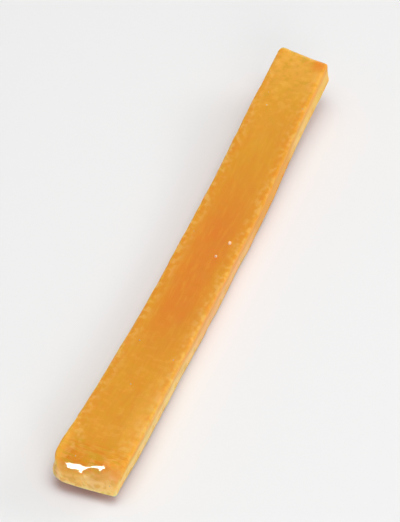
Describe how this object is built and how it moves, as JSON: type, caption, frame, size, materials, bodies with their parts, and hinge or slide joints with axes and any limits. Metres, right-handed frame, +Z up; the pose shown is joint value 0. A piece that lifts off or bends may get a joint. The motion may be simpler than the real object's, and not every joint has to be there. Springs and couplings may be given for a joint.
{
  "type": "candied orange peel strip",
  "caption": "Strip of candied orange peel, a flat, slightly curled bar with its glossy amber pith up and its pitted orange rind down.",
  "frame": {"origin": "on the table, under the middle of the strip's bounding box", "axes": "+X along the strip from its wide foot end to its narrow head end, +Z up out of the pith, with the rind down"},
  "size_m": [0.0872, 0.0092, 0.0075],
  "materials": {
    "candied_peel": "translucent orange peel cooked in syrup, glossy, amber pith above an orange rind"
  },
  "bodies": {
    "root": {"peel_strip": "candied_peel"}
  },
  "joints": []
}
